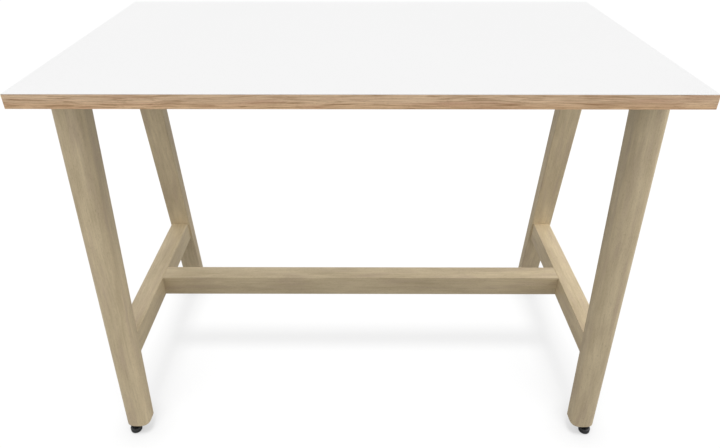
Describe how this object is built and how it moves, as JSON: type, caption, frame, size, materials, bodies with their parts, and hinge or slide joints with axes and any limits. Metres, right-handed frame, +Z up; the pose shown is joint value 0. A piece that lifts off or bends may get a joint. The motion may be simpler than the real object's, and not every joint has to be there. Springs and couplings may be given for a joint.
{
  "type": "communion table",
  "caption": "Free-standing table with a white laminate top and wood edges on two A-shaped end frames of crowned hardwood legs, joined by low stretchers, with levelling feet.",
  "frame": {"origin": "on the floor, under the centre of the table top", "axes": "+X to the right along the length, +Y to the back along the depth, +Z up"},
  "size_m": [1.2, 0.7, 0.9],
  "materials": {
    "white_laminate": "smooth satin high-pressure laminate",
    "backing_laminate": "plain matt balancing laminate",
    "core_board": "sanded particle board",
    "edge_wood": "wood-grain edge band, satin lacquer",
    "frame_wood": "pale hardwood, matt lacquer",
    "dowel_wood": "bare beech",
    "zinc_steel": "bright zinc plating",
    "black_steel": "black zinc plating",
    "black_nylon": "moulded nylon, fine texture"
  },
  "bodies": {
    "table": {"top_laminate": "white_laminate", "top_core": "core_board", "backing_laminate": "backing_laminate", "edge_band_front": "edge_wood", "edge_band_back": "edge_wood", "edge_band_left": "edge_wood", "edge_band_right": "edge_wood", "leg_front_left": "frame_wood", "leg_front_right": "frame_wood", "leg_back_left": "frame_wood", "leg_back_right": "frame_wood", "side_stretcher_left": "frame_wood", "side_stretcher_right": "frame_wood", "centre_stretcher": "frame_wood", "top_rail_left": "frame_wood", "top_rail_right": "frame_wood", "stretcher_dowel_front_left_lower": "dowel_wood", "stretcher_dowel_front_left_upper": "dowel_wood", "rail_dowel_front_left_lower": "dowel_wood", "rail_dowel_front_left_upper": "dowel_wood", "stretcher_dowel_front_right_lower": "dowel_wood", "stretcher_dowel_front_right_upper": "dowel_wood", "rail_dowel_front_right_lower": "dowel_wood", "rail_dowel_front_right_upper": "dowel_wood", "stretcher_dowel_back_left_lower": "dowel_wood", "stretcher_dowel_back_left_upper": "dowel_wood", "rail_dowel_back_left_lower": "dowel_wood", "rail_dowel_back_left_upper": "dowel_wood", "stretcher_dowel_back_right_lower": "dowel_wood", "stretcher_dowel_back_right_upper": "dowel_wood", "rail_dowel_back_right_lower": "dowel_wood", "rail_dowel_back_right_upper": "dowel_wood", "centre_bolt_left": "zinc_steel", "barrel_nut_left": "zinc_steel", "bolt_plug_left": "frame_wood", "centre_dowel_left": "dowel_wood", "top_screw_left_front": "zinc_steel", "top_screw_left_middle": "zinc_steel", "top_screw_left_back": "zinc_steel", "centre_bolt_right": "zinc_steel", "barrel_nut_right": "zinc_steel", "bolt_plug_right": "frame_wood", "centre_dowel_right": "dowel_wood", "top_screw_right_front": "zinc_steel", "top_screw_right_middle": "zinc_steel", "top_screw_right_back": "zinc_steel", "foot_insert_front_left": "zinc_steel", "foot_insert_front_right": "zinc_steel", "foot_insert_back_left": "zinc_steel", "foot_insert_back_right": "zinc_steel"},
    "pad_front_left": {"foot_pad_front_left": "black_nylon"},
    "stud_front_left": {"foot_stud_front_left": "black_steel"},
    "pad_front_right": {"foot_pad_front_right": "black_nylon"},
    "stud_front_right": {"foot_stud_front_right": "black_steel"},
    "pad_back_left": {"foot_pad_back_left": "black_nylon"},
    "stud_back_left": {"foot_stud_back_left": "black_steel"},
    "pad_back_right": {"foot_pad_back_right": "black_nylon"},
    "stud_back_right": {"foot_stud_back_right": "black_steel"}
  },
  "joints": [
    {"name": "foot_height_front_left", "type": "slide", "parent": "table", "child": "pad_front_left", "axis": [0, 0, -1], "range_m": [-0.008, 0.012]},
    {"name": "foot_turn_front_left", "type": "hinge", "parent": "pad_front_left", "child": "stud_front_left", "pos_m": [-0.561, -0.301, 0.03], "axis": [0, 0, -1], "range_deg": [-1920, 2880]},
    {"name": "foot_height_front_right", "type": "slide", "parent": "table", "child": "pad_front_right", "axis": [0, 0, -1], "range_m": [-0.008, 0.012]},
    {"name": "foot_turn_front_right", "type": "hinge", "parent": "pad_front_right", "child": "stud_front_right", "pos_m": [0.561, -0.301, 0.03], "axis": [0, 0, -1], "range_deg": [-1920, 2880]},
    {"name": "foot_height_back_left", "type": "slide", "parent": "table", "child": "pad_back_left", "axis": [0, 0, -1], "range_m": [-0.008, 0.012]},
    {"name": "foot_turn_back_left", "type": "hinge", "parent": "pad_back_left", "child": "stud_back_left", "pos_m": [-0.561, 0.301, 0.03], "axis": [0, 0, -1], "range_deg": [-1920, 2880]},
    {"name": "foot_height_back_right", "type": "slide", "parent": "table", "child": "pad_back_right", "axis": [0, 0, -1], "range_m": [-0.008, 0.012]},
    {"name": "foot_turn_back_right", "type": "hinge", "parent": "pad_back_right", "child": "stud_back_right", "pos_m": [0.561, 0.301, 0.03], "axis": [0, 0, -1], "range_deg": [-1920, 2880]}
  ],
  "couplings": [
    {"joint": "foot_turn_front_left", "follows": "foot_height_front_left", "rad_per_m": 4188.8},
    {"joint": "foot_turn_front_right", "follows": "foot_height_front_right", "rad_per_m": 4188.8},
    {"joint": "foot_turn_back_left", "follows": "foot_height_back_left", "rad_per_m": 4188.8},
    {"joint": "foot_turn_back_right", "follows": "foot_height_back_right", "rad_per_m": 4188.8}
  ]
}
